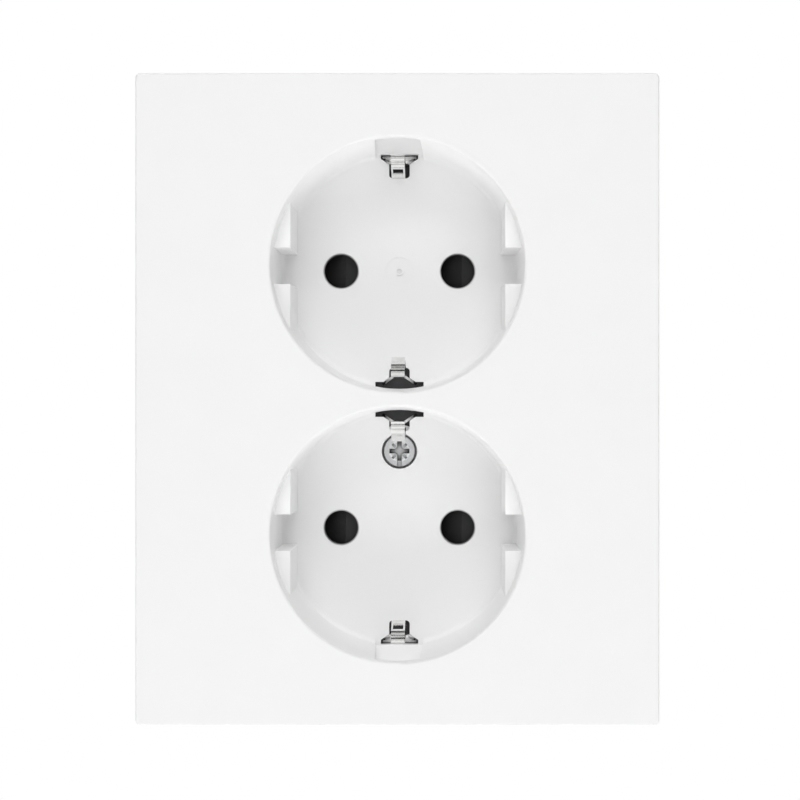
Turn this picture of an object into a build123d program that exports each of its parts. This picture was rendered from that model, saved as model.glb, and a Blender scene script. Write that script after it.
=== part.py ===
from build123d import *
from math import hypot
import os

os.makedirs("parts", exist_ok=True)

# Double socket outlet for a flush wall box, in millimetres.
# The wall face is the XZ plane, +Z is up and the sockets face -Y.
# The origin lies in the wall face, midway between the two sockets.
# A height is measured from the wall face towards the room; inside the wall it is negative.

# Clearances
running_gap = 0.3  # between pieces that slide
fit_gap = 0.2  # between pieces that are put together and stay
tight_gap = 0.05  # between pieces that are pressed or screwed together

# Cover plate
plate_corner = 0.8
plate_edge = 0.3
face_wall = 2.2
side_wall = 1.8
side_room = 3.2  # from the yoke to the side walls
end_room = 2.0  # from the deck to the top and bottom walls
rib_wall = 1.2
rib_drop = 9.0  # how far the ribs hang below the face wall

# Socket recesses in the cover
recess_depth = 17.5
recess_radius = 19.7  # at the front
recess_draft = 0.5  # less at the floor
recess_rim = 0.4
recess_fillet = 0.8
recess_spacing = 2.42  # plate left between the two recesses
cup_wall = 1.4
floor_wall = 1.6
ear_inset = 2.57  # from the recess wall to the ear's flat side, at the floor
ear_draft = 0.9  # degrees
ear_setback = 4.2  # below the cover's front face
ear_slot = 5.3
pin_pitch = 19.0
pin_length = 19.0
pin_hole = 5.4
pin_hole_round = 0.35
dimple_radius = 2.3
dimple_depth = 0.2
gate_ring_radius = 0.65
gate_ring_wall = 0.25

# Bays in the cup walls behind the two outer clips
bay_width = 7.8  # at the floor
bay_depth = 2.8  # outwards from the recess wall, at the floor
bay_rise = 2.0  # of a bay's floor, towards its back
bay_draft = 1.4  # degrees
bay_lip = 1.4  # face wall left in front of a bay

# Earth clips, all inwards from the recess wall at the floor
clip_width = 2.15
clip_strip = 0.4
clip_bend = 0.35
clip_top = 3.0  # fold below the cover's front face
web_inset = 2.0
shoulder_inset = 2.9
shoulder_drop = 1.5  # below the fold, and so are the next three
bulge_inset = 3.7
bulge_drop = 1.6
step_inset = 4.1
step_drop = 4.4
apex_inset = 4.8
apex_drop = 5.7
tip_inset = 3.0
tab_width = 1.1
hole_width = 1.6  # hole in the tongue of the outer clips
hole_drop = 2.3  # below the fold
hole_length = 2.7
gusset_reach = 1.9  # sideways, at the deck
gusset_lean = 1.25  # outwards, at the deck
gusset_height = 5.6
foot_length = 0.4  # beyond the gussets, at the outer clips

# Clip openings in the recess floor, inwards from the recess wall
notch_width = 3.35
notch_corner = 0.6
outer_notch_inset = 4.05
inner_notch_inset = 3.45
window_width = 7.9
window_inset = 1.15
slot_width = 6.1
slot_inset = 0.15

# Cover screw in the lower recess
screw_land = 0.4  # floor left between the screw's hole and the notch
screw_radius = 1.5
screw_length = 8.0
screw_point = 0.4
head_radius = 2.55
head_height = 2.2
head_chamfer = 0.12
head_hole = 2.88
dish_radius = 1.75
dish_depth = 0.2
dish_taper = 60  # degrees
cross_size = 3.3
cross_depth = 1.3
cross_taper = 8  # degrees
blade_width = 0.8
blade_depth = 0.5
tick_width = 0.4
tick_depth = 0.45
ledge_wall = 1.2
boss_wall = 1.4
retainer_radius = 3.0
retainer_height = 0.8

# Mounting yoke
yoke_sheet = 1.0
yoke_corner = 6.0
yoke_edge = 2.0  # steel left beside the slots
box_spacing = 60.0
box_slot_width = 3.6
box_slot_length = 7.0

# Earth bar and the rivets at its ends
bar_width = 5.6
bar_sheet = 0.8
bar_eye = 4.2
bar_end = 2.6  # beyond the rivets
collar_wall = 0.7
collar_height = 2.0
rivet_offset = 4.4  # beyond the outer clip's web
rivet_radius = 1.4
rivet_head = 2.0
rivet_head_height = 0.7
rivet_dome = 0.35

# Shutters
shutter_height = 2.4
shutter_travel = 6.2
shutter_land = 0.7  # pin axis to the top of the ramp
shutter_lip = 0.5  # height of the ramp's low edge
block_width = 8.0
block_length = 7.4
rail_width = 1.6
rail_height = 1.5
rail_gap = 1.0
post_width = 1.2
coil_radius = 0.9
coil_wire = 0.3
coil_turns = 5

# Base housing and its rear cover
deck_rim = 5.8  # beside the shutter pockets
deck_end = 1.5  # beyond the earth bar
deck_corner = 6.0
deck_skin = 1.1
pin_guide = 3.0
pin_guide_play = 0.8
barrel_wall = 1.4
partition = 1.4
chamber_room = 5.4  # beside the contact bars
rear_wall = 2.0
rear_chamfer = 0.6
saddle_wall = 1.6
saddle_offset = 12.6
boss_inset = 6.0  # rear screws, inwards from the barrel's outside
boss_half = 5.0

# Contact bars
contact_strip = 0.7
contact_reach = 1.5  # from a pin's tip to the bar
contact_width = 4.6
contact_throat = 2.2
contact_mouth = 3.0
contact_belly = 2.9
contact_bend = 1.5
belly_height = 3.0  # above the bar
throat_height = 8.0
mouth_gap = 0.5  # below the chamber's roof

# Terminals
terminal_room = 6.2  # from the clamping face to the spring's back
terminal_depth = 6.0
terminal_length = 15.0
terminal_gap = 2.3  # between the earth terminal and the bar's eye
spring_sheet = 0.35
spring_width = 12.0
spring_bend = 0.8
spring_crown = 2.2
wire_hole = 2.8
wire_pitch = 8.4
wire_offset = 1.7
button_width = 2.6
button_length = 5.0
button_flange = 0.7
button_flange_height = 0.8
button_offset = 3.9
button_travel = 1.5

# Rear cover screws
rear_screw_radius = 1.25
rear_screw_length = 8.0
rear_screw_room = 1.0
rear_head_radius = 2.4
rear_head_height = 1.1
rear_cross_size = 2.4
rear_cross_width = 0.6
rear_cross_depth = 0.7

# Heights that follow
bar_top = yoke_sheet + bar_sheet
pocket_floor = bar_top + deck_skin
shutter_bottom = pocket_floor + running_gap
shutter_top = shutter_bottom + shutter_height
deck_front = shutter_top + running_gap
floor_front = deck_front + floor_wall
cover_front = floor_front + recess_depth
face_back = cover_front - face_wall
ear_front = cover_front - ear_setback
clip_fold = cover_front - clip_top
chamber_roof = pocket_floor - pin_guide
spine_front = floor_front - pin_length - contact_reach
spine_back = spine_front - contact_strip
rear_front = spine_back - terminal_depth
rear_back = rear_front - rear_wall
ledge_front = floor_front - head_height - fit_gap / 2
ledge_back = ledge_front - ledge_wall

# Radii about a socket axis that follow
recess_floor_radius = recess_radius - recess_draft
cup_radius = recess_radius + cup_wall
cup_middle = recess_radius + cup_wall / 2
ear_chord = recess_floor_radius - ear_inset
clip_web = recess_floor_radius - web_inset
bay_outer = recess_floor_radius + bay_depth
bay_back = bay_outer + cup_wall
slot_outer = recess_floor_radius - slot_inset
window_inner = recess_floor_radius - window_inset
gusset_edge = (clip_width - clip_strip) / 2
gusset_end = gusset_edge + gusset_reach
gusset_slope = gusset_lean / gusset_reach
gusset_base = hypot(gusset_reach, gusset_lean)
gusset_room = (clip_strip / 2 + tight_gap) * gusset_base / gusset_reach
slot_start = clip_web + (notch_width / 2 - gusset_edge) * gusset_slope - gusset_room
slot_end = clip_web + (slot_width / 2 - gusset_edge) * gusset_slope - gusset_room
boss_radius = head_hole + boss_wall

# Places that follow
socket_pitch = 2 * recess_radius + recess_spacing
socket_z = socket_pitch / 2
sockets = [(0, socket_z), (0, -socket_z)]
pin_x = pin_pitch / 2
screw_offset = recess_floor_radius - inner_notch_inset - screw_land - head_hole
screw_z = screw_offset - socket_z
rivet_z = socket_z + clip_web + rivet_offset
bar_half = rivet_z + bar_end
deck_half = bar_half + deck_end
yoke_width = box_spacing + box_slot_length + 2 * yoke_edge
plate_width = yoke_width + 2 * (side_room + side_wall)
plate_height = 2 * (deck_half + end_room + side_wall)
pocket_left = -pin_x - block_length / 2 - running_gap
pocket_right = pin_x + block_length / 2 + shutter_travel + running_gap
deck_width = 2 * (pocket_right + deck_rim)
post_left = pin_x - block_length / 2 - running_gap - post_width
rail_centre = block_width / 2 + rail_gap + rail_width / 2
pocket_half = rail_centre + rail_width / 2 + running_gap
earth_clamp = bar_width / 2 - bar_sheet
mid_half = terminal_room - earth_clamp
chamber_inner = mid_half + partition
clamp_face = chamber_inner + terminal_room
leaf_reach = contact_mouth + contact_strip
chamber_outer = max(pin_x + leaf_reach, clamp_face + contact_strip) + chamber_room
barrel_flat = chamber_outer + barrel_wall
barrel_bore = hypot(pin_x + leaf_reach, socket_z + contact_width / 2) + fit_gap
barrel_radius = barrel_bore + barrel_wall
boss_offset = barrel_radius - boss_inset
earth_terminal = screw_z + bar_eye + terminal_gap + terminal_length / 2

# Clips: name, socket axis, outward direction along Z, and whether it is an outer clip
clip_sites = [
    ("earth_clip_upper_outer", socket_z, 1, True),
    ("earth_clip_upper_inner", socket_z, -1, False),
    ("earth_clip_lower_inner", -socket_z, 1, False),
    ("earth_clip_lower_outer", -socket_z, -1, True),
]

# Terminals: pole, clamping face, side of the spring from the face, and centre along Z
terminals = [
    ("live", clamp_face, -1, 0),
    ("neutral", -clamp_face, 1, 0),
    ("earth", earth_clamp, -1, earth_terminal),
]


def level(height):
    """Plane parallel to the wall, with x to the right and y up, facing the room."""
    return Plane.XZ.offset(height)


def across(z):
    """Plane square to Z, with x to the right and y towards the room."""
    return Plane(origin=(0, 0, z), x_dir=(1, 0, 0), z_dir=(0, 0, -1))


def radial(z, outward):
    """Plane through a socket axis, with x outwards along Z and y towards the room."""
    return Plane(origin=(0, 0, z), x_dir=(0, 0, outward), z_dir=(outward, 0, 0))


def finish(piece, name):
    """Label a finished piece and write it out."""
    piece.part.label = name
    export_step(piece.part, f"parts/{name}.step")


# Cover plate: a box-like shell with two cups, each with side ears, pin holes and clip openings
with BuildPart() as cover_plate:
    with BuildSketch(level(0)):
        RectangleRounded(plate_width, plate_height, plate_corner)
    extrude(amount=cover_front)
    fillet(cover_plate.faces().sort_by(Axis.Y)[0].edges(), plate_edge)
    with BuildSketch(level(0)):
        Rectangle(plate_width - 2 * side_wall, plate_height - 2 * side_wall)
    extrude(amount=face_back, mode=Mode.SUBTRACT)
    # Ribs from the cups to the side walls
    with BuildSketch(level(face_back)):
        with Locations(*sockets):
            Rectangle(plate_width - side_wall, rib_wall)
        Rectangle(rib_wall, plate_height - side_wall)
    extrude(amount=-rib_drop)
    # Cups, hollowed to the recess with a rounded floor corner and rim
    with BuildSketch(level(deck_front)):
        with Locations(*sockets):
            Circle(cup_radius)
    extrude(amount=face_back - deck_front)
    for _, centre in sockets:
        with BuildSketch(across(centre)) as recess_profile:
            with BuildLine():
                Polyline(
                    (0, floor_front),
                    (recess_floor_radius, floor_front),
                    (recess_radius, cover_front),
                    (0, cover_front),
                    close=True,
                )
            make_face()
            floor_corner = recess_profile.vertices().group_by(Axis.Y)[0].sort_by(Axis.X)[-1]
            fillet(floor_corner, recess_fillet)
        revolve(axis=Axis((0, 0, centre), (0, 1, 0)), mode=Mode.SUBTRACT)
    front_circles = cover_plate.edges().filter_by(GeomType.CIRCLE).group_by(Axis.Y)[0]
    fillet(front_circles.group_by(SortBy.RADIUS)[-1], recess_rim)
    # Ears: four blocks in each cup, with a slot between the two on each side
    with BuildSketch(level(floor_front)):
        with Locations(*sockets):
            Circle(cup_middle)
            Rectangle(2 * ear_chord, 2 * cup_radius, mode=Mode.SUBTRACT)
            Rectangle(2 * cup_radius, ear_slot, mode=Mode.SUBTRACT)
    extrude(amount=ear_front - floor_front, taper=ear_draft)
    # Bays behind the outer clips: walled in below the face wall and open to the recess
    with BuildSketch(level(deck_front)):
        with GridLocations(0, 2 * socket_z + cup_middle + bay_back, 1, 2):
            Rectangle(bay_width + 2 * cup_wall, bay_back - cup_middle)
    extrude(amount=face_back - deck_front)
    with BuildSketch(level(floor_front)):
        with GridLocations(0, 2 * socket_z + clip_web + bay_outer, 1, 2):
            Rectangle(bay_width, bay_outer - clip_web)
    extrude(amount=recess_depth - bay_lip, taper=bay_draft, mode=Mode.SUBTRACT)
    for _, centre, outward, outer in clip_sites:
        if outer:
            with BuildSketch(radial(centre, outward)):
                with BuildLine():
                    Polyline(
                        (recess_floor_radius, floor_front),
                        (bay_outer, floor_front + bay_rise),
                        (bay_outer, floor_front),
                        close=True,
                    )
                make_face()
            extrude(amount=bay_width / 2, both=True)
    # Clip openings through the floor: a notch, gusset slots, and at the inner clips a window
    for _, centre, outward, outer in clip_sites:
        floor_plane = Plane(
            origin=(0, -floor_front, centre), x_dir=(outward, 0, 0), z_dir=(0, -1, 0)
        )
        notch_end = recess_floor_radius - (outer_notch_inset if outer else inner_notch_inset)
        with BuildSketch(floor_plane):
            with Locations((0, notch_end)):
                RectangleRounded(
                    notch_width,
                    clip_web - notch_end + 2 * notch_corner,
                    notch_corner,
                    align=(Align.CENTER, Align.MIN),
                )
            with BuildLine():
                Polyline(
                    (-notch_width / 2, slot_start),
                    (notch_width / 2, slot_start),
                    (slot_width / 2, slot_end),
                    (slot_width / 2, slot_outer),
                    (-slot_width / 2, slot_outer),
                    (-slot_width / 2, slot_end),
                    close=True,
                )
            make_face()
        extrude(amount=-floor_wall, mode=Mode.SUBTRACT)
        if not outer:
            with BuildSketch(floor_plane.offset(recess_fillet)):
                with Locations((0, window_inner)):
                    Rectangle(window_width, window_inset, align=(Align.CENTER, Align.MIN))
                Circle(recess_floor_radius, mode=Mode.INTERSECT)
            extrude(amount=-recess_fillet - floor_wall, mode=Mode.SUBTRACT)
    # Pin holes with rounded mouths
    with BuildSketch(level(floor_front)):
        with Locations(*sockets):
            with GridLocations(pin_pitch, 0, 2, 1):
                Circle(pin_hole / 2)
    extrude(amount=-floor_wall, mode=Mode.SUBTRACT)
    fillet(cover_plate.edges(Select.LAST).group_by(Axis.Y)[0], pin_hole_round)
    # Gate dimples, one with the stub of the gate
    with BuildSketch(level(floor_front)):
        with Locations(*sockets):
            Circle(dimple_radius)
    extrude(amount=-dimple_depth, mode=Mode.SUBTRACT)
    with BuildSketch(level(floor_front - dimple_depth)):
        with Locations(sockets[0]):
            Circle(gate_ring_radius)
            Circle(gate_ring_radius - gate_ring_wall, mode=Mode.SUBTRACT)
    extrude(amount=2 * dimple_depth)
    # Boss with a counterbored hole for the screw
    with BuildSketch(level(deck_front)):
        with Locations((0, screw_z)):
            Circle(boss_radius)
    extrude(amount=ledge_back - deck_front)
    with Locations(level(floor_front) * Pos(0, screw_z)):
        CounterBoreHole(
            radius=screw_radius + fit_gap,
            counter_bore_radius=head_hole,
            counter_bore_depth=floor_front - ledge_front,
            depth=floor_front - ledge_back,
        )
finish(cover_plate, "cover_plate")

# Cover screw: cheese head with a dished cross recess, ticks between its arms and a blade slot
with BuildPart() as cover_screw:
    with BuildSketch(level(ledge_front)):
        with Locations((0, screw_z)):
            Circle(head_radius)
    extrude(amount=head_height)
    chamfer(cover_screw.faces().sort_by(Axis.Y)[0].edges(), head_chamfer)
    with BuildSketch(level(ledge_front)):
        with Locations((0, screw_z)):
            Circle(screw_radius)
    extrude(amount=-screw_length)
    chamfer(cover_screw.faces().sort_by(Axis.Y)[-1].edges(), screw_point)
    head_top = level(ledge_front + head_height)
    with BuildSketch(head_top):
        with Locations((0, screw_z)):
            Circle(dish_radius)
    extrude(amount=-dish_depth, taper=dish_taper, mode=Mode.SUBTRACT)
    with BuildSketch(head_top):
        with Locations((0, screw_z)):
            Rectangle(cross_size, blade_width)
            Rectangle(blade_width, cross_size)
            Rectangle(2 * blade_width, 2 * blade_width, rotation=45)
    extrude(amount=-cross_depth, taper=cross_taper, mode=Mode.SUBTRACT)
    with BuildSketch(head_top):
        with Locations((0, screw_z)):
            Rectangle(blade_width, 2 * head_radius)
    extrude(amount=-blade_depth, mode=Mode.SUBTRACT)
    with BuildSketch(head_top):
        with Locations((0, screw_z)):
            Rectangle(cross_size, tick_width, rotation=45)
            Rectangle(cross_size, tick_width, rotation=-45)
    extrude(amount=-tick_depth, mode=Mode.SUBTRACT)
finish(cover_screw, "cover_screw")

# Ring that keeps the screw in the cover
with BuildPart() as screw_retainer:
    with BuildSketch(level(ledge_back)):
        with Locations((0, screw_z)):
            Circle(retainer_radius)
            Circle(screw_radius + tight_gap, mode=Mode.SUBTRACT)
    extrude(amount=-retainer_height)
finish(screw_retainer, "screw_retainer")

# Base housing: deck under the cups, and a barrel with contact chambers that goes into the wall box
with BuildPart() as base_housing:
    with BuildSketch(level(yoke_sheet)):
        RectangleRounded(deck_width, 2 * deck_half, deck_corner)
    extrude(amount=deck_front - yoke_sheet)
    with BuildSketch(level(yoke_sheet)):
        Circle(barrel_radius)
        Rectangle(2 * barrel_flat, 2 * barrel_radius, mode=Mode.INTERSECT)
    extrude(amount=rear_front - yoke_sheet)
    # Channel for the earth bar, open at the back
    with BuildSketch(level(yoke_sheet)):
        Rectangle(bar_width + 2 * fit_gap, 2 * (bar_half + fit_gap))
        with Locations((0, screw_z)):
            Circle(bar_eye + fit_gap)
    extrude(amount=bar_sheet, mode=Mode.SUBTRACT)
    # Chambers: live and neutral at the sides, earth between them
    with BuildSketch(level(rear_front)):
        Circle(barrel_bore)
        Rectangle(2 * chamber_outer, 2 * barrel_bore, mode=Mode.INTERSECT)
        Rectangle(2 * chamber_inner, 2 * barrel_bore, mode=Mode.SUBTRACT)
    extrude(amount=chamber_roof - rear_front, mode=Mode.SUBTRACT)
    with BuildSketch(level(rear_front)):
        Rectangle(2 * mid_half, 2 * (boss_offset - boss_half))
    extrude(amount=bar_top - rear_front, mode=Mode.SUBTRACT)
    # Saddles that the contact bars bear on
    with BuildSketch(level(spine_front)):
        with GridLocations(chamber_inner + chamber_outer, 2 * saddle_offset, 2, 2):
            Rectangle(chamber_outer - chamber_inner, saddle_wall)
    extrude(amount=chamber_roof - spine_front)
    # Shutter pockets with a post for each spring, and the pin guides below them
    with BuildSketch(level(deck_front)):
        with Locations(*sockets):
            with Locations((pocket_left, 0)):
                Rectangle(
                    pocket_right - pocket_left, 2 * pocket_half, align=(Align.MIN, Align.CENTER)
                )
            with Locations((post_left, 0)):
                Rectangle(
                    post_width,
                    block_width / 2,
                    align=(Align.MIN, Align.CENTER),
                    mode=Mode.SUBTRACT,
                )
    extrude(amount=pocket_floor - deck_front, mode=Mode.SUBTRACT)
    with BuildSketch(level(pocket_floor)):
        with Locations(*sockets):
            with GridLocations(pin_pitch, 0, 2, 1):
                Circle((pin_hole + pin_guide_play) / 2)
    extrude(amount=-pin_guide, mode=Mode.SUBTRACT)
    # Slots for the clips
    with BuildSketch(level(deck_front)):
        for _, centre, outward, _ in clip_sites:
            with Locations((0, centre + outward * clip_web)):
                Rectangle(clip_width + 2 * tight_gap, clip_strip + 2 * tight_gap)
    extrude(amount=bar_top - deck_front, mode=Mode.SUBTRACT)
    # Pocket for the screw boss
    with Locations(level(deck_front) * Pos(0, screw_z)):
        CounterBoreHole(
            radius=screw_radius + fit_gap,
            counter_bore_radius=boss_radius + fit_gap,
            counter_bore_depth=deck_front - pocket_floor,
            depth=deck_front - bar_top,
        )
    # Rivet holes and pilot holes for the rear screws
    with Locations(level(deck_front) * Pos(0, rivet_z), level(deck_front) * Pos(0, -rivet_z)):
        CounterBoreHole(
            radius=rivet_radius + tight_gap,
            counter_bore_radius=rivet_head + fit_gap,
            counter_bore_depth=rivet_head_height,
            depth=deck_front - yoke_sheet,
        )
    with BuildSketch(level(rear_front)):
        with GridLocations(0, 2 * boss_offset, 1, 2):
            Circle(rear_screw_radius + tight_gap)
    extrude(amount=rear_screw_length + rear_screw_room, mode=Mode.SUBTRACT)
finish(base_housing, "base_housing")

# Steel yoke that carries the base on the wall box
with BuildPart() as mounting_yoke:
    with BuildSketch(level(0)):
        RectangleRounded(yoke_width, 2 * deck_half, yoke_corner)
        with GridLocations(box_spacing, 0, 2, 1):
            SlotOverall(box_slot_length, box_slot_width, mode=Mode.SUBTRACT)
    extrude(amount=yoke_sheet)
    with BuildSketch(level(0)):
        Circle(barrel_radius + fit_gap)
        Rectangle(
            2 * (barrel_flat + fit_gap), 2 * (barrel_radius + fit_gap), mode=Mode.INTERSECT
        )
    extrude(amount=yoke_sheet, mode=Mode.SUBTRACT)
    for place in (rivet_z, -rivet_z):
        with BuildSketch(across(place)):
            with BuildLine():
                Polyline(
                    (0, 0),
                    (rivet_head, 0),
                    (rivet_radius + tight_gap, yoke_sheet),
                    (0, yoke_sheet),
                    close=True,
                )
            make_face()
        revolve(axis=Axis((0, 0, place), (0, 1, 0)), mode=Mode.SUBTRACT)
finish(mounting_yoke, "mounting_yoke")

# Rivets through deck, earth bar and yoke, flared flush at the back
for name, place in (("rivet_upper", rivet_z), ("rivet_lower", -rivet_z)):
    with BuildPart() as rivet:
        with BuildSketch(across(place)):
            with BuildLine():
                Polyline(
                    (0, 0),
                    (rivet_head - tight_gap, 0),
                    (rivet_radius, yoke_sheet),
                    (rivet_radius, deck_front - rivet_head_height),
                    (rivet_head, deck_front - rivet_head_height),
                    (rivet_head, deck_front - rivet_dome),
                    (rivet_radius, deck_front),
                    (0, deck_front),
                    close=True,
                )
            make_face()
        revolve(axis=Axis((0, 0, place), (0, 1, 0)))
    finish(rivet, name)

# Earth bar with a collar for the cover screw's thread and a leg down to the earth terminal
with BuildPart() as earth_bar:
    with BuildSketch(level(yoke_sheet)):
        Rectangle(bar_width, 2 * bar_half)
        with Locations((0, screw_z)):
            Circle(bar_eye)
        for _, centre, outward, _ in clip_sites:
            with Locations((0, centre + outward * clip_web)):
                Rectangle(
                    tab_width + 2 * tight_gap, clip_strip + 2 * tight_gap, mode=Mode.SUBTRACT
                )
        with GridLocations(0, 2 * rivet_z, 1, 2):
            Circle(rivet_radius + tight_gap, mode=Mode.SUBTRACT)
    extrude(amount=bar_sheet)
    with BuildSketch(level(yoke_sheet)):
        with Locations((0, screw_z)):
            Circle(screw_radius + tight_gap + collar_wall)
    extrude(amount=-collar_height)
    with BuildSketch(level(bar_top)):
        with Locations((0, screw_z)):
            Circle(screw_radius + tight_gap)
    extrude(amount=-bar_sheet - collar_height, mode=Mode.SUBTRACT)
    with BuildSketch(level(yoke_sheet)):
        with Locations((earth_clamp, earth_terminal)):
            Rectangle(bar_sheet, terminal_length, align=(Align.MIN, Align.CENTER))
    extrude(amount=rear_front + running_gap - yoke_sheet)
finish(earth_bar, "earth_bar")

# Earth clips: hairpin strips with a stepped tongue, two gussets and a tab staked in the bar.
# The outer ones also have a hole in the tongue and a foot on the deck.
for name, centre, outward, outer in clip_sites:
    with BuildPart() as earth_clip:
        with BuildSketch(radial(centre, outward)):
            with BuildLine():
                FilletPolyline(
                    (clip_web, bar_top),
                    (clip_web, clip_fold - clip_strip / 2),
                    (recess_floor_radius - shoulder_inset, clip_fold - clip_strip / 2),
                    (recess_floor_radius - shoulder_inset, clip_fold - shoulder_drop),
                    (recess_floor_radius - bulge_inset, clip_fold - bulge_drop),
                    (recess_floor_radius - step_inset, clip_fold - step_drop),
                    (recess_floor_radius - apex_inset, clip_fold - apex_drop),
                    (recess_floor_radius - tip_inset, deck_front + running_gap),
                    radius=clip_bend,
                )
            trace(line_width=clip_strip)
        extrude(amount=clip_width / 2, both=True)
        with BuildSketch(radial(centre, outward)):
            with Locations((clip_web, yoke_sheet)):
                Rectangle(clip_strip, bar_sheet, align=(Align.CENTER, Align.MIN))
        extrude(amount=tab_width / 2, both=True)
        for side in (-1, 1):
            edge = Vector(side * gusset_edge, 0, centre + outward * clip_web)
            lean = Vector(side * gusset_reach, 0, outward * gusset_lean)
            gusset_plane = Plane(edge, x_dir=lean, z_dir=lean.cross(Vector(0, -1, 0)))
            with BuildSketch(gusset_plane):
                with BuildLine():
                    Polyline(
                        (0, deck_front),
                        (gusset_base, deck_front),
                        (0, deck_front + gusset_height),
                        close=True,
                    )
                make_face()
            extrude(amount=clip_strip / 2, both=True)
        if outer:
            with BuildSketch(radial(centre, outward)):
                with Locations((clip_web - clip_strip, clip_fold - hole_drop)):
                    Rectangle(apex_inset - web_inset, hole_length, align=(Align.MAX, Align.MAX))
            extrude(amount=hole_width / 2, both=True, mode=Mode.SUBTRACT)
            foot_plane = Plane(
                origin=(0, -deck_front, centre + outward * clip_web),
                x_dir=(outward, 0, 0),
                z_dir=(0, -1, 0),
            )
            with BuildSketch(foot_plane):
                with BuildLine():
                    Polyline(
                        (-gusset_edge, 0),
                        (gusset_edge, 0),
                        (gusset_end, gusset_lean),
                        (gusset_end, gusset_lean + foot_length),
                        (-gusset_end, gusset_lean + foot_length),
                        (-gusset_end, gusset_lean),
                        close=True,
                    )
                make_face()
            extrude(amount=clip_strip)
    finish(earth_clip, name)

# Live and neutral contact bars: a strip with a spring contact for each pin and a clamping face
for name, side in (("live_contact_bar", 1), ("neutral_contact_bar", -1)):
    with BuildPart() as contact_bar:
        inner_edge = pin_x - contact_throat - contact_strip
        outer_edge = clamp_face + contact_strip
        with BuildSketch(level(spine_back)):
            with Locations((side * (inner_edge + outer_edge) / 2, 0)):
                Rectangle(outer_edge - inner_edge, socket_pitch + contact_width)
        extrude(amount=contact_strip)
        with BuildSketch(level(spine_back)):
            with Locations((side * (clamp_face + contact_strip / 2), 0)):
                Rectangle(contact_strip, terminal_length)
        extrude(amount=rear_front + running_gap - spine_back)
        for centre in (socket_z, -socket_z):
            with BuildSketch(across(centre)):
                for leaf in (-1, 1):
                    throat = side * pin_x + leaf * (contact_throat + contact_strip / 2)
                    belly = side * pin_x + leaf * (contact_belly + contact_strip / 2)
                    mouth = side * pin_x + leaf * (contact_mouth + contact_strip / 2)
                    with BuildLine():
                        FilletPolyline(
                            (throat, spine_back),
                            (belly, spine_front + belly_height),
                            (throat, spine_front + throat_height),
                            (mouth, chamber_roof - mouth_gap),
                            radius=contact_bend,
                        )
                    trace(line_width=contact_strip)
            extrude(amount=contact_width / 2, both=True)
    finish(contact_bar, name)

# Shutters: a slider with two ramped blocks, moved aside by a pair of pins
for name, centre in (("shutter_upper", socket_z), ("shutter_lower", -socket_z)):
    with BuildPart() as shutter:
        with BuildSketch(across(centre)):
            for pin in (-pin_x, pin_x):
                with BuildLine():
                    Polyline(
                        (pin - block_length / 2, shutter_bottom),
                        (pin + block_length / 2, shutter_bottom),
                        (pin + block_length / 2, shutter_top),
                        (pin + shutter_land, shutter_top),
                        (pin - block_length / 2, shutter_bottom + shutter_lip),
                        close=True,
                    )
                make_face()
        extrude(amount=block_width / 2, both=True)
        with BuildSketch(level(shutter_bottom)):
            with Locations((0, centre)):
                with GridLocations(0, 2 * rail_centre, 1, 2):
                    Rectangle(pin_pitch + block_length, rail_width)
                with Locations((block_length / 4, 0)):
                    with GridLocations(pin_pitch, 0, 2, 1):
                        Rectangle(block_length / 2, 2 * rail_centre)
        extrude(amount=rail_height)
    finish(shutter, name)

# Return springs between each shutter's left block and its post
coil_start = -pin_x + block_length / 2 + coil_wire
coil_span = post_left - coil_wire - coil_start
for name, centre in (("shutter_spring_upper", socket_z), ("shutter_spring_lower", -socket_z)):
    coil_foot = (coil_start, -(shutter_bottom + shutter_top) / 2, centre)
    with BuildPart() as shutter_spring:
        with BuildLine() as coil:
            Helix(coil_span / coil_turns, coil_span, coil_radius, coil_foot, direction=(1, 0, 0))
        with BuildSketch(Plane(coil.line @ 0, z_dir=coil.line % 0)):
            Rectangle(coil_wire, coil_wire)
        sweep(path=coil.line, is_frenet=True)
    finish(shutter_spring, name)

# Terminals: a leaf spring that clamps two wires, and the button that lifts it
for pole, face, side, centre in terminals:
    spring_back = face + side * (terminal_room - spring_sheet / 2)
    spring_roof = spine_back - spring_sheet / 2
    with BuildPart() as clamp_spring:
        with BuildSketch(across(centre)):
            with BuildLine():
                FilletPolyline(
                    (spring_back, rear_front),
                    (spring_back, spring_roof),
                    (spring_back - side * spring_crown, spring_roof),
                    (face + side * spring_sheet, rear_front + terminal_depth / 2),
                    radius=spring_bend,
                )
            trace(line_width=spring_sheet)
        extrude(amount=spring_width / 2, both=True)
    finish(clamp_spring, f"clamp_spring_{pole}")

    button_place = (face + side * button_offset, centre)
    with BuildPart() as release_button:
        with BuildSketch(level(rear_back)):
            with Locations(button_place):
                Rectangle(button_width, button_length)
        extrude(amount=spine_back - 2 * running_gap - button_travel - rear_back)
        with BuildSketch(level(rear_front + running_gap)):
            with Locations(button_place):
                Rectangle(button_width, button_length + 2 * button_flange)
        extrude(amount=button_flange_height)
    finish(release_button, f"release_button_{pole}")

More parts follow.
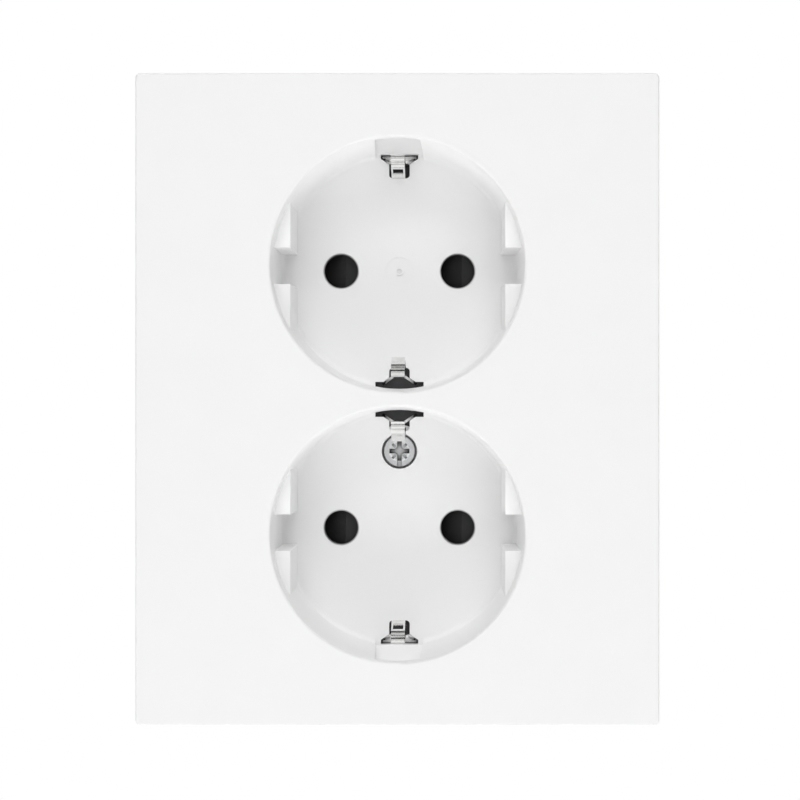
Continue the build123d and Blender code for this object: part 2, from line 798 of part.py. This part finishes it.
# Rear cover with wire entries, button windows and supports for the contact bars
with BuildPart() as rear_cover:
    with BuildSketch(level(rear_back)):
        Circle(barrel_radius)
        Rectangle(2 * barrel_flat, 2 * barrel_radius, mode=Mode.INTERSECT)
    extrude(amount=rear_wall)
    chamfer(rear_cover.faces().sort_by(Axis.Y)[-1].edges(), rear_chamfer)
    with BuildSketch(level(rear_front)):
        with GridLocations(pin_pitch, socket_pitch, 2, 2):
            Rectangle(2 * contact_throat, contact_width)
    extrude(amount=terminal_depth)
    with BuildSketch(level(rear_back)):
        for _, face, side, centre in terminals:
            with Locations((face + side * button_offset, centre)):
                Rectangle(button_width + 2 * running_gap, button_length + 2 * running_gap)
            with Locations((face + side * wire_offset, centre)):
                with GridLocations(0, wire_pitch, 1, 2):
                    Rectangle(wire_hole, wire_hole)
    extrude(amount=rear_wall, mode=Mode.SUBTRACT)
    back_face = Plane.XZ.offset(rear_back).rotated((180, 0, 0))
    with Locations(back_face * Pos(0, boss_offset), back_face * Pos(0, -boss_offset)):
        CounterBoreHole(
            radius=rear_screw_radius + fit_gap,
            counter_bore_radius=rear_head_radius + fit_gap,
            counter_bore_depth=rear_head_height,
            depth=rear_wall,
        )
finish(rear_cover, "rear_cover")

# Screws that hold the rear cover to the base
for name, place in (("rear_screw_upper", boss_offset), ("rear_screw_lower", -boss_offset)):
    with BuildPart() as rear_screw:
        with BuildSketch(level(rear_back)):
            with Locations((0, place)):
                Circle(rear_head_radius)
        extrude(amount=rear_head_height)
        with BuildSketch(level(rear_back)):
            with Locations((0, place)):
                Circle(rear_screw_radius)
        extrude(amount=rear_wall + rear_screw_length)
        with BuildSketch(level(rear_back)):
            with Locations((0, place)):
                Rectangle(rear_cross_size, rear_cross_width)
                Rectangle(rear_cross_width, rear_cross_size)
        extrude(amount=rear_cross_depth, mode=Mode.SUBTRACT)
    finish(rear_screw, name)
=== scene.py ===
import math

import bpy
from mathutils import Euler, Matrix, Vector


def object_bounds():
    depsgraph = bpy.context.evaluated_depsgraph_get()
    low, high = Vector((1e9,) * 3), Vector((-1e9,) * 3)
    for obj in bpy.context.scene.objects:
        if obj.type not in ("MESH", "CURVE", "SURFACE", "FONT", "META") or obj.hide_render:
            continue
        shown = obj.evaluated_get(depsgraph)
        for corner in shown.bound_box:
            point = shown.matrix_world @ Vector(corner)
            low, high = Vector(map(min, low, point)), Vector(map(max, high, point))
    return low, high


# Looks of a double socket outlet: finishes, studio light and camera. Lengths in metres.

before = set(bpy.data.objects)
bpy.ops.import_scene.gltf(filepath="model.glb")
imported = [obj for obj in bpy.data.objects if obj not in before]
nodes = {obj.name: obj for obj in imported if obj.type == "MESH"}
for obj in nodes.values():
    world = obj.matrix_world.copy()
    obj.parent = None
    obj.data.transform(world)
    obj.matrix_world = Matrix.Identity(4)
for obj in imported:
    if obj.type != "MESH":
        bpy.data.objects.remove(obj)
cad_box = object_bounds()

MM = 0.001

# Camera, square to the plate and a little right of its centre
CAMERA_PLACE = (6.1 * MM, -336.0 * MM, -0.56 * MM)
CAMERA_LENS = 90.6
CAMERA_SENSOR = 36.0
CAMERA_SHIFT = (-0.046, 0.0035)
CAMERA_NEAR = 10 * MM

# Noises: grains per metre and detail, and the values between which colour and roughness change
WHITE_MOTTLE = (120.0, 3.0)
WHITE_GRAIN = (3500.0, 2.0)
PLASTIC_MOTTLE = (300.0, 3.0)
PLASTIC_GRAIN = (5000.0, 2.0)
METAL_GRAIN = (2500.0, 3.0)
NOISE_LOW = 0.3
NOISE_HIGH = 0.7

# White of the cover, at its darkest and lightest, its gloss and the depth of its grain
WHITE_DARK = (0.96, 0.96, 0.96)
WHITE_LIGHT = (0.97, 0.97, 0.97)
WHITE_IOR = 1.5
WHITE_SMOOTH = 0.36
WHITE_ROUGH = 0.44
WHITE_RELIEF = 0.002 * MM

# Painted shade on the flat front of the cover: how much greyer it is, and the depth over which that ends
FRONT_SHADE_SHARE = 0.95
FRONT_SHADE_DEPTH = 0.6 * MM

# Pin holes of the cover, with painted shade on their walls
PIN_PITCH = 19.0 * MM
SOCKET_PITCH = 41.82 * MM
PIN_HOLE = 5.4 * MM
PIN_EDGE = 0.3 * MM
PIN_SHADE_SHARE = 0.12

# Other plastics: darkest colour and least roughness, and what their texture adds
PLASTICS = {
    "base_plastic": ((0.03, 0.03, 0.031), 0.45),
    "shutter_plastic": ((0.013, 0.013, 0.013), 0.45),
    "button_plastic": ((0.5, 0.5, 0.51), 0.4),
    "retainer_plastic": ((0.6, 0.6, 0.58), 0.4),
}
PLASTIC_LIGHTER = 1.25
PLASTIC_ROUGHER = 0.1
PLASTIC_RELIEF = 0.004 * MM

# Metals: lightest colour and least roughness, and what their grain changes
METALS = {
    "nickel": ((0.9, 0.9, 0.89), 0.08),
    "zinc": ((0.85, 0.86, 0.87), 0.16),
    "galvanised": ((0.62, 0.63, 0.64), 0.34),
    "spring_steel": ((0.55, 0.55, 0.55), 0.25),
    "brass": ((0.78, 0.6, 0.28), 0.24),
}
METAL_DARKER = 0.93
METAL_ROUGHER = 0.08
METAL_RELIEF = 0.001 * MM

# Painted shade in creases and narrow gaps: its reach, and the openness at which the colour is black and at
# which it is unchanged
WHITE_CREASE_SHADE = (0.5 * MM, 0.1, 0.25)
METAL_CREASE_SHADE = (1.2 * MM, 0.2, 0.75)
CREASE_SHADE_SAMPLES = 5

# The one earth clip that bounced light meets
LIT_CLIP = "earth_clip_upper_outer"

# Floor: its place and paint, the distances between which it turns white, and its white share near the part
FLOOR_DROP = 60.0 * MM
FLOOR_SIZE = 6.0
FLOOR_COLOUR = (0.86, 0.86, 0.86, 1)
FLOOR_ROUGHNESS = 0.9
FLOOR_NEAR = 120.0 * MM
FLOOR_FAR = 200.0 * MM
FLOOR_GLOW = 0.5

# Soft boxes: name, degrees to the right of the front, degrees up, and power
TARGET = Vector((0, -10 * MM, 0))
BOX_DISTANCE = 0.9
BOX_SIZE = 0.6
SOFT_BOXES = [
    ("front_box", 0, 20, 1.5),
    ("high_box", 0, 45, 3.2),
    ("under_box", 0, -60, 3.95),
    ("left_box", -55, 0, 1.1),
    ("right_box", 62, 0, 0.85),
    ("top_box", 0, 98, 3.2),
    ("rear_left_box", -150, 12, 2.4),
    ("rear_right_box", 150, 12, 2.4),
]

# Cards before the front, by half their sides: a grey middle, and the insides and outsides of dark frames
CARD_DISTANCE = 0.5
CARD_MIDDLE = 0.1
CARD_MIDDLE_GLOW = 0.6
CARD_FRAMES = [(0.13, 0.22), (0.28, 5.0)]
CARD_COLOUR = (0.02, 0.02, 0.02, 1)

WHITE = (1, 1, 1, 1)


def node_material(name):
    """A new node material and its main shader."""
    material = bpy.data.materials.new(name)
    material.use_nodes = True
    shader = material.node_tree.nodes["Principled BSDF"]
    return material, shader


def add_node(owner, kind, **inputs):
    """A node of that kind in a material or world, with some inputs set by name."""
    node = owner.node_tree.nodes.new(kind)
    for key, value in inputs.items():
        node.inputs[key].default_value = value
    return node


def join(owner, start, end):
    """Link an output socket to an input socket."""
    owner.node_tree.links.new(start, end)


def number_step(owner, operation, first, second):
    """The result of an operation on two numbers."""
    node = add_node(owner, "ShaderNodeMath")
    node.operation = operation
    join(owner, first, node.inputs[0])
    join(owner, second, node.inputs[1])
    return node.outputs["Value"]


def vector_step(material, operation, source, other=(0, 0, 0)):
    """A node that works on a vector, with a fixed second vector where the operation takes one."""
    node = add_node(material, "ShaderNodeVectorMath")
    node.operation = operation
    node.inputs[1].default_value = other
    join(material, source, node.inputs[0])
    return node


def ramp(material, source, start, end, low, high):
    """A value that goes from low to high while the source goes from start to end."""
    node = add_node(material, "ShaderNodeMapRange")
    node.inputs["From Min"].default_value = start
    node.inputs["From Max"].default_value = end
    node.inputs["To Min"].default_value = low
    node.inputs["To Max"].default_value = high
    join(material, source, node.inputs["Value"])
    return node.outputs["Result"]


def object_place(material):
    """The object's own coordinates."""
    return add_node(material, "ShaderNodeTexCoord").outputs["Object"]


def noise(material, scale, detail):
    """Noise over the object's own coordinates, scale in grains per metre."""
    texture = add_node(material, "ShaderNodeTexNoise", Scale=scale, Detail=detail)
    join(material, object_place(material), texture.inputs["Vector"])
    return texture.outputs["Fac"]


def span(material, source, low, high):
    """A noise output mapped to the range low to high."""
    return ramp(material, source, NOISE_LOW, NOISE_HIGH, low, high)


def tint(material, source, dark, light):
    """A colour between dark and light, following a noise output."""
    node = add_node(material, "ShaderNodeValToRGB")
    first, last = node.color_ramp.elements
    first.position = NOISE_LOW
    first.color = (*dark, 1)
    last.position = NOISE_HIGH
    last.color = (*light, 1)
    join(material, source, node.inputs["Fac"])
    return node.outputs["Color"]


def bump(material, shader, source, depth):
    """Relief of that depth in metres, following a noise output."""
    relief = add_node(material, "ShaderNodeBump", Strength=1.0, Distance=depth)
    join(material, source, relief.inputs["Height"])
    join(material, relief.outputs["Normal"], shader.inputs["Normal"])


def scaled(material, colour, share):
    """A colour made darker by a share of one or less."""
    node = vector_step(material, "SCALE", colour)
    join(material, share, node.inputs["Scale"])
    return node.outputs["Vector"]


def painted_crease_shade(material, colour, reach, low, high):
    """A colour with painted shade: darkened in creases and narrow gaps, where the surface is shut in
    within that reach.
    """
    shut = add_node(material, "ShaderNodeAmbientOcclusion", Distance=reach)
    shut.samples = CREASE_SHADE_SAMPLES
    return scaled(material, colour, ramp(material, shut.outputs["AO"], low, high, 0.0, 1.0))


def front_painted_shade(material, colour):
    """A colour with painted shade: a little greyer on the cover's flat front."""
    parts = add_node(material, "ShaderNodeSeparateXYZ")
    join(material, object_place(material), parts.inputs["Vector"])
    front = cad_box[0][1]
    share = ramp(material, parts.outputs["Y"], front, front + FRONT_SHADE_DEPTH, FRONT_SHADE_SHARE, 1.0)
    return scaled(material, colour, share)


def pin_hole_painted_shade(material, colour):
    """A colour with painted shade on the walls of the four pin holes."""
    centre = (PIN_PITCH / 2, 0, SOCKET_PITCH / 2)
    quarter = vector_step(material, "ABSOLUTE", object_place(material))
    offset = vector_step(material, "SUBTRACT", quarter.outputs["Vector"], centre)
    across = vector_step(material, "MULTIPLY", offset.outputs["Vector"], (1, 0, 1))
    radius = vector_step(material, "LENGTH", across.outputs["Vector"])
    wall = PIN_HOLE / 2
    share = ramp(material, radius.outputs["Value"], wall, wall + PIN_EDGE, PIN_SHADE_SHARE, 1.0)
    return scaled(material, colour, share)


def white_plastic():
    """Moulded white cover: a soft gloss over a very fine grain, with painted shade in narrow gaps, on the
    pin hole walls and on the flat front.
    """
    material, shader = node_material("white_plastic")
    shader.inputs["IOR"].default_value = WHITE_IOR
    colour = tint(material, noise(material, *WHITE_MOTTLE), WHITE_DARK, WHITE_LIGHT)
    # Painted shade: the flat front is made a little greyer than the recesses
    colour = front_painted_shade(material, colour)
    # Painted shade on the walls of the pin holes
    colour = pin_hole_painted_shade(material, colour)
    # Painted shade in creases and narrow gaps
    colour = painted_crease_shade(material, colour, *WHITE_CREASE_SHADE)
    join(material, colour, shader.inputs["Base Color"])
    grain = noise(material, *WHITE_GRAIN)
    join(material, span(material, grain, WHITE_SMOOTH, WHITE_ROUGH), shader.inputs["Roughness"])
    bump(material, shader, grain, WHITE_RELIEF)
    return material


def moulded_plastic(name):
    """Black or grey moulded plastic with a fine matt texture."""
    colour, roughness = PLASTICS[name]
    material, shader = node_material(name)
    lighter = tuple(PLASTIC_LIGHTER * c for c in colour)
    rougher = roughness + PLASTIC_ROUGHER
    mottle = noise(material, *PLASTIC_MOTTLE)
    join(material, tint(material, mottle, colour, lighter), shader.inputs["Base Color"])
    grain = noise(material, *PLASTIC_GRAIN)
    join(material, span(material, grain, roughness, rougher), shader.inputs["Roughness"])
    bump(material, shader, grain, PLASTIC_RELIEF)
    return material


def metal(name):
    """Plated, rolled or drawn metal with a fine grain, with painted shade in its creases."""
    colour, roughness = METALS[name]
    material, shader = node_material(name)
    shader.inputs["Metallic"].default_value = 1.0
    darker = tuple(METAL_DARKER * c for c in colour)
    rougher = roughness + METAL_ROUGHER
    grain = noise(material, *METAL_GRAIN)
    grained = tint(material, grain, darker, colour)
    # Painted shade in the metal's creases
    join(material, painted_crease_shade(material, grained, *METAL_CREASE_SHADE), shader.inputs["Base Color"])
    join(material, span(material, grain, roughness, rougher), shader.inputs["Roughness"])
    bump(material, shader, grain, METAL_RELIEF)
    return material


def dress(material, *names):
    """Give CAD nodes a material."""
    for name in names:
        mesh = nodes[name].data
        mesh.materials.clear()
        mesh.materials.append(material)


def dress_all():
    """Finishes of all the pieces."""
    clips = [n for n in nodes if n.startswith("earth_clip")]
    springs = [n for n in nodes if "spring" in n]
    buttons = [n for n in nodes if n.startswith("release_button")]
    rivets = [n for n in nodes if n.startswith("rivet")]
    rear_screws = [n for n in nodes if n.startswith("rear_screw")]
    dress(white_plastic(), "cover_plate")
    dress(moulded_plastic("base_plastic"), "base_housing", "rear_cover")
    dress(moulded_plastic("shutter_plastic"), "shutter_upper", "shutter_lower")
    dress(moulded_plastic("button_plastic"), *buttons)
    dress(moulded_plastic("retainer_plastic"), "screw_retainer")
    dress(metal("nickel"), *clips)
    dress(metal("zinc"), "cover_screw", *rear_screws)
    dress(metal("galvanised"), "mounting_yoke", *rivets)
    dress(metal("spring_steel"), *springs)
    dress(metal("brass"), "earth_bar", "live_contact_bar", "neutral_contact_bar")
    # The clips cast no shadows, and bounced light passes through all but one of them
    for name in clips:
        nodes[name].visible_shadow = False
        nodes[name].visible_diffuse = name == LIT_CLIP


def seen_rays(owner):
    """One for camera, glossy and transmission rays, and nought for the rest."""
    rays = add_node(owner, "ShaderNodeLightPath").outputs
    either = number_step(owner, "MAXIMUM", rays["Is Camera Ray"], rays["Is Glossy Ray"])
    return number_step(owner, "MAXIMUM", either, rays["Is Transmission Ray"])


def floor_paint():
    """Pale paint that turns white away from the part, to the camera and in reflections."""
    material, shader = node_material("floor_paint")
    shader.inputs["Base Color"].default_value = FLOOR_COLOUR
    shader.inputs["Roughness"].default_value = FLOOR_ROUGHNESS
    place = add_node(material, "ShaderNodeNewGeometry")
    plan = vector_step(material, "MULTIPLY", place.outputs["Position"], (1, 1, 0))
    reach = vector_step(material, "LENGTH", plan.outputs["Vector"])
    fade = ramp(material, reach.outputs["Value"], FLOOR_NEAR, FLOOR_FAR, FLOOR_GLOW, 1.0)
    share = number_step(material, "MULTIPLY", fade, seen_rays(material))
    glow = add_node(material, "ShaderNodeEmission", Color=WHITE, Strength=1.0)
    mix = add_node(material, "ShaderNodeMixShader")
    output = material.node_tree.nodes["Material Output"]
    join(material, share, mix.inputs["Fac"])
    join(material, shader.outputs["BSDF"], mix.inputs[1])
    join(material, glow.outputs["Emission"], mix.inputs[2])
    join(material, mix.outputs["Shader"], output.inputs["Surface"])
    return material


def add_floor():
    """Pale floor under the part, which lets the light from below through."""
    half = FLOOR_SIZE / 2
    height = cad_box[0][2] - FLOOR_DROP
    corners = [(-half, -half, height), (half, -half, height), (half, half, height), (-half, half, height)]
    mesh = bpy.data.meshes.new("floor")
    mesh.from_pydata(corners, [], [(0, 1, 2, 3)])
    mesh.materials.append(floor_paint())
    floor = bpy.data.objects.new("floor", mesh)
    floor.visible_shadow = False
    bpy.context.scene.collection.objects.link(floor)


def add_world():
    """Surroundings that are white to the camera and in reflections, and give no other light."""
    world = bpy.data.worlds.new("studio")
    world.use_nodes = True
    white = world.node_tree.nodes["Background"]
    white.inputs["Color"].default_value = WHITE
    join(world, seen_rays(world), white.inputs["Strength"])
    bpy.context.scene.world = world


def add_soft_box(name, side, rise, power):
    """A square soft box that faces the part, placed by its angles from the front."""
    lamp = bpy.data.lights.new(name, "AREA")
    lamp.shape = "SQUARE"
    lamp.size = BOX_SIZE
    lamp.energy = power
    box = bpy.data.objects.new(name, lamp)
    turn = Euler((math.radians(-rise), 0, math.radians(side)))
    outwards = turn.to_matrix() @ Vector((0, -1, 0))
    box.location = TARGET + BOX_DISTANCE * outwards
    box.rotation_euler = outwards.to_track_quat("Z", "Y").to_euler()
    box.visible_glossy = False
    bpy.context.scene.collection.objects.link(box)


def card_corners(reach):
    """Corners of an upright square before the part, centred on it."""
    return [(reach * x, -CARD_DISTANCE, reach * z) for x, z in ((-1, -1), (1, -1), (1, 1), (-1, 1))]


def add_card(name, corners, faces, glow):
    """A card that is seen only in reflections."""
    material, shader = node_material(name)
    shader.inputs["Base Color"].default_value = CARD_COLOUR
    shader.inputs["Roughness"].default_value = 1.0
    shader.inputs["Emission Color"].default_value = WHITE
    shader.inputs["Emission Strength"].default_value = glow
    mesh = bpy.data.meshes.new(name)
    mesh.from_pydata(corners, [], faces)
    mesh.materials.append(material)
    card = bpy.data.objects.new(name, mesh)
    card.visible_camera = False
    card.visible_diffuse = False
    card.visible_transmission = False
    card.visible_volume_scatter = False
    card.visible_shadow = False
    bpy.context.scene.collection.objects.link(card)


def add_cards():
    """A grey card and dark frames around it, which give the bright metal its bands."""
    add_card("card_middle", card_corners(CARD_MIDDLE), [(0, 1, 2, 3)], CARD_MIDDLE_GLOW)
    sides = [(k, (k + 1) % 4, (k + 1) % 4 + 4, k + 4) for k in range(4)]
    for k, (inner, outer) in enumerate(CARD_FRAMES):
        add_card(f"card_frame_{k}", card_corners(inner) + card_corners(outer), sides, 0.0)


def add_camera():
    """The photograph's viewpoint."""
    lens = bpy.data.cameras.new("camera")
    lens.lens = CAMERA_LENS
    lens.sensor_width = CAMERA_SENSOR
    lens.shift_x, lens.shift_y = CAMERA_SHIFT
    lens.clip_start = CAMERA_NEAR
    camera = bpy.data.objects.new("camera", lens)
    camera.location = CAMERA_PLACE
    camera.rotation_euler = (math.radians(90), 0, 0)
    bpy.context.scene.collection.objects.link(camera)
    bpy.context.scene.camera = camera


dress_all()
add_floor()
add_world()
for soft_box in SOFT_BOXES:
    add_soft_box(*soft_box)
add_cards()
add_camera()
bpy.context.scene.view_settings.view_transform = "Standard"
